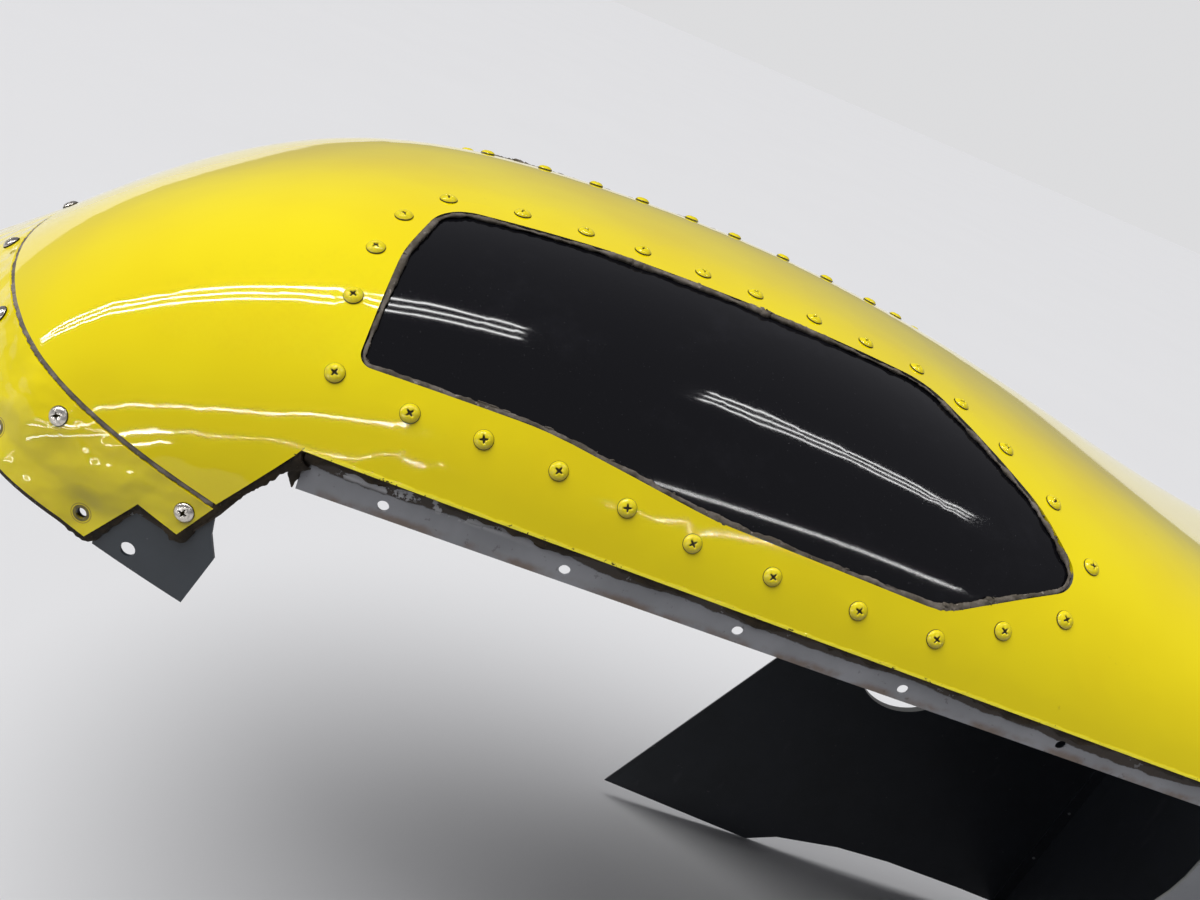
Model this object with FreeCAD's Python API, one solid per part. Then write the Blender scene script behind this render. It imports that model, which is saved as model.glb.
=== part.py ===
import FreeCAD, Part
import math
import os

V = FreeCAD.Vector

# Aircraft cockpit canopy: a moulded hood with a smoked window on each side, a screwed
# front band over its bow, sheet sill flanges and the cabin's quarter panels below.
# Lengths in millimetres. X runs aft, Y to the right wall, Z up. Built from the first
# sill hole, then moved so that the origin is at the middle of the footprint.

# Moulded roof. Each station: X, crest height, plan width ratio, squareness of the arch.
stations = [
    (-338.0, -41.0, 0.396, 2.6), (-274.5, 11.6, 0.662, 2.6), (-235.0, 44.5, 0.816, 2.6),
    (-204.7, 66.1, 0.909, 2.6), (-163.6, 90.4, 0.963, 2.6), (-101.9, 116.4, 0.990, 2.6),
    (0.8, 137.6, 1.0, 2.6), (103.6, 144.9, 1.0, 2.6), (206.3, 144.6, 1.0, 2.6),
    (411.8, 116.9, 1.0, 2.9), (617.0, 72.0, 1.0, 4.0), (854.0, 34.0, 1.0, 6.6)]
spring_z = -94.5         # height where the arch becomes upright
skirt = 60.0                # how far the loft's straight foot runs under that level
sill_half_width = 234.9  # outside of the hood at the sill
sill_front_x = -47.0
sill_front_z = 16.8
sill_fall = 0.0125       # drop of the sill per millimetre aft
pillar_foot = (-79.0, -24.0)
skin = 2.5
section_count = 23
section_points = 10

# Sheet work and clearances
sheet = 1.6
fit = 0.15               # between nested sheets
drill_play = 0.15        # radial, round every shank

# Front band and the bow behind it
seam_line = [(-79.0, -24.0), (-143.0, -8.0), (-210.0, 8.6), (-274.5, 13.6), (-345.0, 14.2)]
seam_gap = 3.6
band_sink = 0.5
band_edge = [(-94.0, -48.0), (-117.0, -40.0), (-140.0, -70.0), (-155.0, -65.0),
             (-194.0, -55.5), (-256.0, -43.0), (-345.0, -33.5)]
bow_lap = 25.0
bow_show = 4.0
band_screw_sites = [(-93.3, -34.5), (-169.2, -14.8), (-231.3, 0.2), (-272.7, 3.9)]
band_spare_sites = [(-144.2, -57.5), (-201.3, -37.2)]
nose_screw_z = 4.0
spare_hole_r = 3.0

# Pillar brackets
bracket_sheet = 2.0
bracket_outline = [(-136.5, -75.2), (-84.0, -90.2), (-73.2, -57.0), (-77.8, -44.0),
                   (-81.0, -14.0), (-139.0, -14.0)]
bracket_hole = (-117.7, -70.2)
bracket_hole_r = 4.2

# Windows. Outline corners: X, distance up the window plane from the sill, corner radius.
window_lean = math.radians(34.6)
window_outline = [
    (-37.5, 46.6, 8.0), (-39.5, 123.1, 90.0), (-30.0, 176.1, 26.0), (70.0, 185.6, 300.0),
    (287.0, 186.1, 42.0), (362.0, 116.1, 90.0), (391.0, 72.1, 17.0), (308.0, 30.6, 46.0),
    (166.0, 33.6, 200.0), (66.0, 46.6, 240.0)]
pane = 3.0
pane_lap = 8.0
ring_width = 22.0
ring_lip = 3.0
bead_width = 3.2
bead_drop = 0.7
screw_margin = 14.5
screw_stops = [          # shares of the way round the window, spaced by hand
    0.016, 0.057, 0.090, 0.121, 0.155, 0.196, 0.232, 0.265, 0.301, 0.333, 0.370, 0.404, 0.439, 0.471,
    0.506, 0.544, 0.583, 0.624, 0.660, 0.696, 0.739, 0.786, 0.829, 0.865, 0.902, 0.940, 0.976]

# Screws and rivets
screw_head_r = 5.4
screw_head_h = 2.3
screw_shank_r = 2.1
screw_tail = 2.5
nut_flats = 8.0
nut_h = 3.0
nut_gap = 0.35           # between a flat nut and the curved bow at its middle
head_gap = 0.05          # between a band screw's head and the sheet
rivet_head_r = 3.0
rivet_head_h = 1.6
rivet_shank_r = 1.6

# Sill flanges
bond = 0.8
joggle = 0.5             # set of the flange's upper leg, inward
flange_front_x = -45.5
flange_drop = 7.5
flange_lap = 7.0
sill_hole_r = 3.2
sill_hole_pitch = 101.6
sill_hole_count = 6
sealant_depth = 5.0

# Quarter panels and the rear bulkhead
panel_front = [(534.0, -75.0), (320.6, -536.0)]
panel_foot = [(513.0, -554.0), (547.0, -537.0), (622.0, -523.0), (689.0, -520.0), (788.0, -524.0)]
panel_rear_z = -529.0
panel_corner_r = 14.0
lightening_centre = (574.5, -248.0)
lightening_r = 58.0
lightening_lip = 6.0
bulkhead_flange = 16.0
rear_x = stations[-1][0]
rivet_pitch = 52.0
arch_rivets = 7


def spline(xs, ys):
    """Natural cubic curve through the given values, as a function of x."""
    n = len(xs)
    h = [xs[i + 1] - xs[i] for i in range(n - 1)]
    low, diag, rhs = [0.0] * n, [1.0] * n, [0.0] * n
    for i in range(1, n - 1):
        low[i] = h[i - 1]
        diag[i] = 2 * (h[i - 1] + h[i])
        rhs[i] = 6 * ((ys[i + 1] - ys[i]) / h[i] - (ys[i] - ys[i - 1]) / h[i - 1])
    for i in range(2, n - 1):
        k = low[i] / diag[i - 1]
        diag[i] -= k * h[i - 1]
        rhs[i] -= k * rhs[i - 1]
    m = [0.0] * n
    for i in range(n - 2, 0, -1):
        m[i] = (rhs[i] - h[i] * m[i + 1]) / diag[i]

    def at(x):
        i = 0
        while i < n - 2 and x > xs[i + 1]:
            i += 1
        a, b = (xs[i + 1] - x) / h[i], (x - xs[i]) / h[i]
        return (a * ys[i] + b * ys[i + 1]
                + ((a ** 3 - a) * m[i] + (b ** 3 - b) * m[i + 1]) * h[i] ** 2 / 6)
    return at


station_x = [s[0] for s in stations]
crest_at = spline(station_x, [s[1] for s in stations])
plan_at = spline(station_x, [s[2] for s in stations])
square_at = spline(station_x, [s[3] for s in stations])


def sill_z(x):
    return sill_front_z - sill_fall * (x - sill_front_x)


def half_width(x):
    """Half width at the springing, set so that the hood meets the sill at its width."""
    xs = max(x, sill_front_x)
    n = square_at(xs)
    rise = (sill_z(xs) - spring_z) / (crest_at(xs) - spring_z)
    return plan_at(x) * sill_half_width / (1 - rise ** n) ** (1 / n)


def arch(x, inset):
    """Half width, rise and squareness of the arch, sunk by an amount square to the skin."""
    w, c = half_width(x), crest_at(x)
    dw = half_width(x + 1) - w
    dc = crest_at(x + 1) - c
    return (w - inset * math.sqrt(1 + dw * dw),
            c - spring_z - inset * math.sqrt(1 + dc * dc), square_at(x))


def field(p, inset=0.0):
    """Below zero inside the roof surface, above zero outside."""
    w, h, n = arch(min(max(p.x, station_x[0]), rear_x), inset)
    return (abs(p.y) / w) ** n + (max(p.z - spring_z, 0.0) / h) ** n - 1


def normal(p):
    e = 0.5
    return V(*[field(p + d) - field(p - d) for d in (V(e, 0, 0), V(0, e, 0), V(0, 0, e))]).normalize()


def land(start, way, reach):
    """Point where a ray from inside first leaves the roof surface."""
    a, b = 0.0, reach
    for _ in range(50):
        m = (a + b) / 2
        if field(start + way * m) < 0:
            a = m
        else:
            b = m
    return start + way * a


def side_point(x, z, side):
    return land(V(x, 0, z), V(0, side, 0), 2 * sill_half_width)


def section_wire(x, inset):
    w, h, n = arch(x, inset)
    pts = []
    for i in range(-section_points, section_points + 1):
        a = math.pi / 2 * i / section_points
        s, c = abs(math.sin(a)), math.cos(a)
        r = (s ** n + c ** n) ** (-1 / n)
        pts.append(V(x, math.copysign(w * r * s, a), spring_z + h * r * max(c, 0.0)))
    roof = Part.BSplineCurve()
    steps = [i / (2 * section_points) for i in range(2 * section_points + 1)]
    roof.interpolate(Points=pts, Parameters=steps)
    low = spring_z - skirt
    left, right = V(x, -w, low), V(x, w, low)
    return Part.Wire([roof.toShape(), Part.makeLine(pts[-1], right), Part.makeLine(right, left),
                      Part.makeLine(left, pts[0])])


made = {}


def roof_solid(inset):
    """Solid under the roof surface, sunk by inset."""
    key = round(inset, 4)
    if key not in made:
        first, span = station_x[0], rear_x - station_x[0]
        xs = [first + span * (i / (section_count - 1)) ** 1.25 for i in range(section_count)]
        made[key] = Part.makeLoft([section_wire(x, inset) for x in xs], True, False)
    return made[key]


def prism(points, y0=-400.0, y1=400.0):
    """Side-view outline pushed through the width."""
    vs = [V(x, y0, z) for x, z in points]
    return Part.Face(Part.makePolygon(vs + [vs[0]])).extrude(V(0, y1 - y0, 0))


def layer(outer, inner, region):
    """Sheet between two depths under the roof surface, within a region."""
    return roof_solid(outer).common(region).cut(roof_solid(inner))


def along(p, q, t):
    return (p[0] + (q[0] - p[0]) * t, p[1] + (q[1] - p[1]) * t)


def seam_points(shift, from_x, to_x, count=16):
    """Seam line sampled forward from from_x to to_x, raised by shift."""
    line = spline([p[0] for p in reversed(seam_line)], [p[1] for p in reversed(seam_line)])
    return [(x, line(x) + shift) for x in
            [from_x + (to_x - from_x) * i / (count - 1) for i in range(count)]]


def rounded(corners, place):
    """Closed wire with a tangent arc at each corner; place maps (x, v) into space."""
    edges, ends = [], []
    n = len(corners)
    for i in range(n):
        (ax, av, _), (x, v, r), (bx, bv, _) = corners[i - 1], corners[i], corners[(i + 1) % n]
        ua = V(ax - x, av - v, 0).normalize()
        ub = V(bx - x, bv - v, 0).normalize()
        half = ua.getAngle(ub) / 2
        t = r / math.tan(half)
        mid = (ua + ub).normalize()
        p = V(x, v, 0)
        m = p + mid * (r / math.sin(half) - r)
        ends.append([place(q.x, q.y) for q in (p + ua * t, m, p + ub * t)])
    for i in range(n):
        a, m, b = ends[i]
        edges.append(Part.Arc(a, m, b).toShape())
        edges.append(Part.makeLine(b, ends[(i + 1) % n][0]))
    return Part.Wire(edges)


def turned(profile, base, way):
    """Solid of revolution: profile of (radius, height) about the axis way from base."""
    pts = [V(r, 0, z) for r, z in profile]
    body = Part.Face(Part.makePolygon(pts + [pts[0]])).revolve(V(), V(0, 0, 1), 360)
    body.Placement = FreeCAD.Placement(base, FreeCAD.Rotation(V(0, 0, 1), way))
    return body


def screw(p, out, grip, head_r=screw_head_r, head_h=screw_head_h, shank_r=screw_shank_r,
          tail=screw_tail):
    """Truss-head fastener seated at p, its shank running inward through the grip."""
    lift = 0.1
    return turned([(0, lift - grip - tail), (shank_r, lift - grip - tail), (shank_r, lift),
                   (head_r, lift), (head_r, lift + 0.25 * head_h), (0.62 * head_r, lift + 0.85 * head_h),
                   (0, lift + head_h)], p, out)


def drill(p, way, r, deep):
    return Part.makeCylinder(r, 2 * deep, p - way * deep, way)


def rivet(p, out, grip):
    return screw(p, out, grip, rivet_head_r, rivet_head_h, rivet_shank_r, 0.6 * rivet_head_h)


def nut(p, way):
    """Hexagon nut whose seat is at p, standing along way, clear of its screw."""
    r = nut_flats / math.sqrt(3)
    ring = [V(r * math.cos(math.radians(60 * i)), r * math.sin(math.radians(60 * i)), 0) for i in range(7)]
    body = Part.Face(Part.makePolygon(ring)).extrude(V(0, 0, nut_h))
    body = body.cut(Part.makeCylinder(screw_shank_r + fit / 2, nut_h * 3, V(0, 0, -nut_h)))
    body.Placement = FreeCAD.Placement(p, FreeCAD.Rotation(V(0, 0, 1), way))
    return body


def mirrored(shape):
    return shape.mirror(V(), V(0, 1, 0))


parts = {}

# Depths of the nested layers under the roof surface
under_skin = skin + fit
bow_back = under_skin + sheet
bracket_face = bow_back + fit
bracket_back = bracket_face + bracket_sheet
flange_face = skin + bond
pane_back = under_skin + pane
lip_face = pane_back + fit
ring_back = lip_face + sheet

# Front band: the screwed strip that closes the hood onto the windshield
pillar_way = V(sill_front_x - pillar_foot[0], 0, sill_front_z - pillar_foot[1]).normalize()
pillar_out = V(pillar_way.z, 0, -pillar_way.x)
rear_pt = (pillar_foot[0] - 1.0, pillar_foot[1] - seam_gap)
nose_end = station_x[0] - 2
band_region = prism(seam_points(-seam_gap, pillar_foot[0] - 1.0, nose_end)
                    + [(nose_end, band_edge[-1][1])] + list(reversed(band_edge[:-1])))
band = layer(band_sink, band_sink + sheet, band_region)

# Bow: the inner strip behind band, seam and pillar, showing past their edges
shown = [(x - 0.3 * bow_show, z - bow_show) for x, z in band_edge[2:-1]]
pillar_low = (pillar_foot[0] + pillar_out.x * bow_show, pillar_foot[1] - seam_gap + pillar_out.z * bow_show)
pillar_top = (flange_front_x - 6 * fit - 4.5, sill_z(sill_front_x) - bow_show)
notch = band_edge[1]
bow_region = prism(
    [pillar_low, pillar_top, (pillar_top[0] - 0.75 * bow_lap, pillar_top[1] + 0.62 * bow_lap)]
    + seam_points(bow_lap, pillar_foot[0] - 0.55 * bow_lap, nose_end)
    + [(nose_end, band_edge[-1][1] - bow_show)] + list(reversed(shown))
    + [(notch[0], notch[1] - 1.6 * bow_show), (band_edge[0][0] + 0.5 * bow_show, band_edge[0][1] - bow_show)])
bow = layer(under_skin, bow_back, bow_region)

# Hood: the moulded shell down to sill, pillar and seam
hood_region = prism(seam_points(0.0, pillar_foot[0], nose_end)
                    + [(nose_end, 400.0), (rear_x, 400.0), (rear_x, sill_z(rear_x)),
                       (sill_front_x, sill_front_z)])
hood = layer(0.0, skin, hood_region)

# Seam sealant: a bead in the gap between hood and band
seam_top = seam_points(-fit, pillar_foot[0] - 1.5, nose_end)
seam_low = seam_points(fit - seam_gap, pillar_foot[0] - 1.5, nose_end)
seam_bead = layer(band_sink, under_skin - fit / 2, prism(seam_top + list(reversed(seam_low))))

# Pillar brackets: plates hung behind the bow, below the notch
bracket = layer(bracket_face, bracket_back, prism(bracket_outline, -400.0, 0.0))

# Holes and screws of band, bow and brackets
band_holes, bracket_holes, band_screws, nuts = [], [], [], []
sites = [(side_point(x, z, s), x) for s in (-1, 1) for x, z in band_screw_sites]
nose = land(V(sill_front_x, 0, nose_screw_z), V(-1, 0, 0), 400.0)
sites.append((nose, nose.x))
for p, x in sites:
    out = normal(p)
    seat = p - out * (band_sink - head_gap)
    behind = bracket_back if x > bracket_outline[0][0] else bow_back
    band_holes.append(drill(p, out, screw_shank_r + drill_play, 14.0))
    band_screws.append(screw(seat, out, behind - band_sink + fit + nut_h))
    nuts.append(nut(p - out * (behind + nut_gap), out * -1))
for s in (-1, 1):
    for x, z in band_spare_sites:
        p = side_point(x, z, s)
        band_holes.append(drill(p, normal(p), spare_hole_r, 14.0))
    p = side_point(bracket_hole[0], bracket_hole[1], s)
    bracket_holes.append(drill(p, V(0, 1, 0), bracket_hole_r, 14.0))
drills = Part.makeCompound(band_holes)
parts["front_band"] = band.cut(drills)
parts["front_bow"] = bow.cut(drills)
parts["front_sealant"] = seam_bead
parts["band_screws"] = Part.makeCompound(band_screws)
parts["band_nuts"] = Part.makeCompound(nuts)
left_bracket = bracket.cut(Part.makeCompound(band_holes + bracket_holes))
parts["pillar_bracket_left"] = left_bracket
parts["pillar_bracket_right"] = mirrored(left_bracket)

# Windows, built on the left and mirrored
plane_up = V(0, math.cos(window_lean), math.sin(window_lean))
plane_out = V(0, -math.sin(window_lean), math.cos(window_lean))
plane_far = plane_out * 260.0


sill_v = sill_front_z * math.sin(window_lean) - sill_half_width * math.cos(window_lean)


def on_plane(x, v):
    return V(x, 0, 0) + plane_up * (v + sill_v) + plane_far


def pierce(wire):
    """Solid pushed square to the window plane through the left wall."""
    return Part.Face(wire).extrude(plane_out * -330.0)


opening = rounded(window_outline, on_plane)
opening_tool = pierce(opening)
pane_edge = opening.makeOffset2D(pane_lap)
ring_inner = opening.makeOffset2D(pane_lap + fit)
lip_edge = opening.makeOffset2D(ring_lip)
ring_edge = opening.makeOffset2D(ring_width)
bead_in = opening.makeOffset2D(-bead_width)
bead_out = opening.makeOffset2D(-fit)

window_pane = layer(under_skin, pane_back, pierce(pane_edge))
ring = layer(under_skin, ring_back, pierce(ring_edge))
ring = ring.cut(pierce(lip_edge)).cut(roof_solid(under_skin - fit).common(pierce(ring_inner)).cut(
    roof_solid(lip_face)))
bead = layer(bead_drop, under_skin - fit / 2, pierce(bead_out)).cut(pierce(bead_in))

screw_line = opening.makeOffset2D(screw_margin)
run = screw_line.discretize(Number=1001)
window_screws, screw_drills = [], []
for stop in screw_stops:
    q = run[round(stop * 1000)]
    p = land(q - plane_far * 1.2, plane_out, 330.0)
    out = normal(p)
    window_screws.append(screw(p, out, ring_back))
    screw_drills.append(drill(p, out, screw_shank_r + drill_play, 12.0))
screw_drills = Part.makeCompound(screw_drills)
ring = ring.cut(screw_drills)
left_window = {"pane": window_pane, "retainer": ring, "sealant": bead,
               "screws": Part.makeCompound(window_screws)}
for name, shape in left_window.items():
    parts["window_" + name + "_left"] = shape
    parts["window_" + name + "_right"] = mirrored(shape)

# Sill flange: an upright leg with the hole line, its upper leg bonded inside the hood
flange_y = sill_half_width - flange_face
flange_rear_x = rear_x - bulkhead_flange - 3 * sheet
leg = layer(flange_face + joggle, flange_face + joggle + sheet, prism(
    [(flange_front_x, sill_z(flange_front_x) - sheet), (flange_rear_x, sill_z(flange_rear_x) - sheet),
     (flange_rear_x, sill_z(flange_rear_x) + flange_lap), (flange_front_x, sill_z(flange_front_x) + flange_lap)],
    -400.0, 0.0))
upright = prism([(flange_front_x, -flange_drop), (flange_rear_x, -flange_drop),
                 (flange_rear_x, sill_z(flange_rear_x)), (flange_front_x, sill_z(flange_front_x))],
                -flange_y, -flange_y + sheet)
flange = upright.fuse(leg).removeSplitter()
sill_holes = [drill(V(i * sill_hole_pitch, -flange_y, 0), V(0, 1, 0), sill_hole_r, 8.0)
              for i in range(sill_hole_count)]

# Sealant wedge under the hood's sill edge, seated on the flange
f0 = V(flange_front_x, 0, sill_z(flange_front_x))
f1 = V(flange_rear_x, 0, sill_z(flange_rear_x))
wedge = [(-flange_y - fit, -sealant_depth), (-flange_y - fit, -fit), (-sill_half_width + 0.8, -fit),
         (-sill_half_width + 1.0, -0.4 * sealant_depth)]
wedge = [V(f0.x, y, f0.z + z) for y, z in wedge]
sealant = Part.Face(Part.makePolygon(wedge + [wedge[0]])).extrude(f1 - f0)

# Quarter panel, inside the flange, with a lipped lightening hole
panel_y = flange_y - sheet - fit
panel_top = [(panel_front[0][0], sill_z(panel_front[0][0]) - sheet), (rear_x, sill_z(rear_x) - sheet)]
corner = panel_front[0]
down = V(panel_front[1][0] - corner[0], panel_front[1][1] - corner[1], 0).normalize()
c0 = (corner[0], corner[1] + panel_corner_r)
c1 = (corner[0] + down.x * panel_corner_r, corner[1] + down.y * panel_corner_r)
cm = along(along(c0, c1, 0.5), corner, 0.35)
panel = prism([panel_top[0], c0, cm, c1, panel_front[1]] + panel_foot + [(rear_x, panel_rear_z), panel_top[1]],
              -panel_y, -panel_y + sheet)
hole_at = V(lightening_centre[0], -panel_y, lightening_centre[1])
lip = Part.makeCylinder(lightening_r + sheet, sheet + lightening_lip, hole_at, V(0, 1, 0))
panel = panel.fuse(lip).cut(drill(hole_at, V(0, 1, 0), lightening_r, 40.0))

# Rear bulkhead: a pressed panel with its flange turned forward all round
inner_y = panel_y - sheet - fit
web_x = rear_x - sheet
front_x = rear_x - bulkhead_flange
join_z = sill_z(rear_x) + fit


def box(x0, x1, half, z0, z1):
    return Part.makeBox(x1 - x0, 2 * half, z1 - z0, V(x0, -half, z0))


upper = roof_solid(under_skin).common(box(front_x, rear_x, 400.0, join_z - sheet, 400.0))
hollow = roof_solid(under_skin + sheet).common(box(front_x - 1, web_x, 400.0, join_z - 2 * sheet, 400.0))
lower = box(front_x, rear_x, inner_y, panel_rear_z + sheet, join_z + sheet)
pocket = box(front_x - 1, web_x, inner_y - sheet, panel_rear_z + 2 * sheet, join_z + 2 * sheet)
upper = upper.common(box(front_x, rear_x, 400.0, join_z, 400.0))
bulkhead = upper.cut(hollow).fuse(lower.cut(pocket).cut(roof_solid(under_skin + sheet).common(
    box(front_x - 1, web_x, inner_y - sheet, join_z - 2 * sheet, 400.0)))).removeSplitter()

# Rivets: flange to panel, bulkhead to panels, bulkhead to hood
flange_rivets, flange_drills, wall_rivets, wall_drills = [], [], [], []
x = panel_front[0][0] + rivet_pitch / 2
while x < front_x - rivet_pitch / 4:
    p = V(x, -flange_y, rivet_head_r + bond - flange_drop)
    flange_rivets.append(rivet(p, V(0, -1, 0), 2 * sheet + fit))
    flange_drills.append(drill(p, V(0, 1, 0), rivet_shank_r + drill_play, 8.0))
    x += rivet_pitch
z = -rivet_pitch
while z > panel_rear_z + rivet_pitch / 2:
    p = V(rear_x - 0.5 * bulkhead_flange, -panel_y, z)
    wall_rivets.append(rivet(p, V(0, -1, 0), 2 * sheet + fit))
    wall_drills.append(drill(p, V(0, 1, 0), rivet_shank_r + drill_play, 8.0))
    z -= 1.5 * rivet_pitch
arch_screws, arch_drills = [], []
for i in range(arch_rivets):
    a = math.pi * (i + 1) / (arch_rivets + 1)
    way = V(0, -math.cos(a), math.sin(a))
    p = land(V(rear_x - 0.5 * bulkhead_flange, 0, join_z - 8 * sheet), way, 400.0)
    out = normal(p)
    arch_screws.append(rivet(p, out, skin + sheet + fit))
    arch_drills.append(drill(p, out, rivet_shank_r + drill_play, 8.0))

flange = flange.cut(Part.makeCompound(sill_holes + flange_drills))
panel = panel.cut(Part.makeCompound(flange_drills + wall_drills))
parts["sill_flange_left"] = flange
parts["sill_flange_right"] = mirrored(flange)
parts["sill_sealant_left"] = sealant
parts["sill_sealant_right"] = mirrored(sealant)
parts["side_panel_left"] = panel
parts["side_panel_right"] = mirrored(panel)
wall_drills = Part.makeCompound(wall_drills)
parts["rear_bulkhead"] = bulkhead.cut(Part.makeCompound([wall_drills, mirrored(wall_drills)] + arch_drills))
parts["flange_rivets"] = Part.makeCompound(flange_rivets + [mirrored(r) for r in flange_rivets])
parts["bulkhead_rivets"] = Part.makeCompound(wall_rivets + [mirrored(r) for r in wall_rivets] + arch_screws)
parts["hood_shell"] = hood.cut(Part.makeCompound(
    [opening_tool, mirrored(opening_tool)])).cut(Part.makeCompound(
        [screw_drills, mirrored(screw_drills)] + arch_drills))

# Origin: middle of the length, on the level of the panels' feet
foot_z = min(z for _, z in panel_foot)
front_end = parts["front_bow"].optimalBoundingBox(False, False).XMin
shift = V(-(front_end + rear_x) / 2, 0, -foot_z)
os.makedirs("parts", exist_ok=True)
for name, shape in parts.items():
    solids = [s for s in shape.Solids]
    shape = solids[0] if len(solids) == 1 else Part.makeCompound(solids)
    shape = shape.copy()
    shape.translate(shift)
    shape.exportStep("parts/" + name + ".step")
    print(name, len(solids), round(shape.Volume / 1000, 1), shape.isValid())
print("shift", shift)
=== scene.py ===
import math

import bmesh
import bpy
import numpy as np
from mathutils import Matrix, Vector, noise
from mathutils.bvhtree import BVHTree


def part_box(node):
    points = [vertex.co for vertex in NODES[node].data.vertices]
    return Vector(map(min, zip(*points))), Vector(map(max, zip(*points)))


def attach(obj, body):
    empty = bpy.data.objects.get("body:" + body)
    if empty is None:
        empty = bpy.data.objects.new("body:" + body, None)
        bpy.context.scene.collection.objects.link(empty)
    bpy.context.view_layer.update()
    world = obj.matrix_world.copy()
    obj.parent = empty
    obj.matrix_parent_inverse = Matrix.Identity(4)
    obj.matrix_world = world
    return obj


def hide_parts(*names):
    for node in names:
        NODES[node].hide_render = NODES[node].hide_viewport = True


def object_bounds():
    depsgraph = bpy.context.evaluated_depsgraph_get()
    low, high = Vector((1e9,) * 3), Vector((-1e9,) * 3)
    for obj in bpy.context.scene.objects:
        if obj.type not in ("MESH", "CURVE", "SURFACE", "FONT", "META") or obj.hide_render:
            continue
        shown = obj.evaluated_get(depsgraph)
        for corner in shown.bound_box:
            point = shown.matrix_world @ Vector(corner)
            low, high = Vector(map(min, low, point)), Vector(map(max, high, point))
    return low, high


bl_info = {
    "name": "Cockpit Canopy Dressing",
    "version": (1, 0, 0),
    "blender": (4, 5, 0),
    "location": "View3D > Sidebar > Canopy",
    "description": "Paints, glazes, screws and seals the moulded cockpit canopy",
    "category": "Object",
}

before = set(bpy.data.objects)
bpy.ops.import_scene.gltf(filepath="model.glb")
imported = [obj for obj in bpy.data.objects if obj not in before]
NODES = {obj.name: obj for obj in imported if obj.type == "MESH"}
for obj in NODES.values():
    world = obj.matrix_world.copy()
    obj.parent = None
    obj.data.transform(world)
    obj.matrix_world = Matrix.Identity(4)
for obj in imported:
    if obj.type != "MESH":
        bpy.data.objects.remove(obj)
CAD_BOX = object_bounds()
SIDES = ("left", "right")

# Landmarks of the canopy in the frame, in metres
FLANGE_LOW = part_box("sill_flange_left")[0].z
FLANGE_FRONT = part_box("sill_flange_left")[0].x
PANEL_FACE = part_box("side_panel_right")[1].y
ARCH_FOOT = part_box("hood_shell")[0].z
BAND_HOLES = ((-0.4054, 0.2420, 0.4964), (-0.4617, 0.2230, 0.5164))
SILL_EDGE = (-0.3084, 0.5708, -0.0125)  # where the hood's sill edge starts (X, Z) and how it falls aft
# Lower edge of band and hood (X, Z) round the pillar notch, then down the strip's front end
NOTCH = ((-0.4164, 0.4890), (-0.4014, 0.4840), (-0.3784, 0.5140), (-0.3554, 0.5060), (-0.3404, 0.5300),
         (-0.3084, 0.5708), (-0.3074, 0.5455))
# Where the notch bead swells: its middle (X, Z) and how far the swelling reaches
PILLAR_FOOT = (-0.3554, 0.5060, 0.006)
NOTCH_TOP = (-0.3070, 0.5690, 0.012)

# Waves of the yellow skin: features a metre and millimetres high, then the fine ones' height
HOOD_WAVES = (11.0, 0.25, 0.03)
BAND_WAVES = (25.0, 7.0, 1.2)
SHANK = (0.0021, 0.0098)  # radius and length of the screws' shanks
BRACKET_GREY = (0.050, 0.060, 0.072)
RETAINER_GREY = (0.10, 0.105, 0.11)

# The camera's axes, fitted to the photograph
RIGHT = Vector((0.93024, 0.03550, 0.36524))
UP = Vector((-0.34489, 0.42457, 0.83714))
BACK = Vector((-0.12535, -0.90470, 0.40719))
# Rows of three tubes: metres ahead of the camera (less than 0 is behind it), start and end to its
# right, and radiance
LAMP_ROWS = (
    (0.0, -2.9, 0.56, 34.0), (-0.1, 1.30, 3.0, 34.0), (-5.2, -4.6, 0.5, 80.0),
    (-4.3, 2.2, 5.2, 80.0), (-15.0, -11.0, 1.0, 200.0), (-13.5, 4.0, 9.0, 200.0))
TUBE = 0.026  # width of a tube
TUBE_GAP = 0.11  # between the tubes of a row


class Signal:
    """A shader socket that takes part in Python sums."""

    def __init__(self, finish, socket):
        self.finish = finish
        self.socket = socket

    def _math(self, operation, a, b):
        return self.finish.node("ShaderNodeMath", {"operation": operation}, {0: a, 1: b})

    def __add__(self, other):
        return self._math("ADD", self, other)

    __radd__ = __add__

    def __sub__(self, other):
        return self._math("SUBTRACT", self, other)

    def __rsub__(self, other):
        return self._math("SUBTRACT", other, self)

    def __mul__(self, other):
        return self._math("MULTIPLY", self, other)

    __rmul__ = __mul__

    def __gt__(self, other):
        return self._math("GREATER_THAN", self, other)

    def __abs__(self):
        return self._math("ABSOLUTE", self, 0.0)

    def ramp(self, low, high):
        """0 below low, 1 above high, smooth between."""
        return self.finish.node("ShaderNodeMapRange", {"interpolation_type": "SMOOTHSTEP"},
                                {"Value": self, "From Min": low, "From Max": high})


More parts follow.
